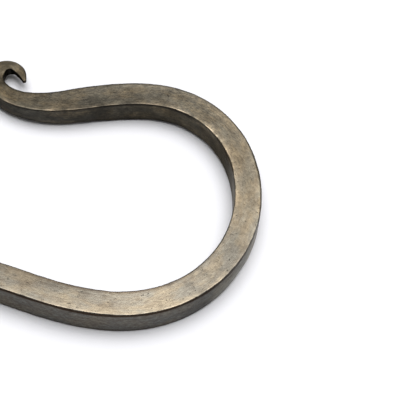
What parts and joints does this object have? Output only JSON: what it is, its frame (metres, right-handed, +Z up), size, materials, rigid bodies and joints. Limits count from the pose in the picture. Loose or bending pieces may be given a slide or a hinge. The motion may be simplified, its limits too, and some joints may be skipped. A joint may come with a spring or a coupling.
{
  "type": "s hook",
  "caption": "Forged steel S hook of square bar: two open opposed hooks, each ending in a drawn-out taper rolled outward into a small scroll.",
  "frame": {"origin": "middle of the bar, on the face that it lies on", "axes": "+X along the load line through both hooks, +Z up out of the flat face it lies on"},
  "size_m": [0.1434, 0.0986, 0.0063],
  "materials": {
    "browned_steel": "hand-forged square bar with a satin browned skin, mottled darker patches, and arrises rubbed bright"
  },
  "bodies": {
    "root": {"s_hook": "browned_steel"}
  },
  "joints": []
}
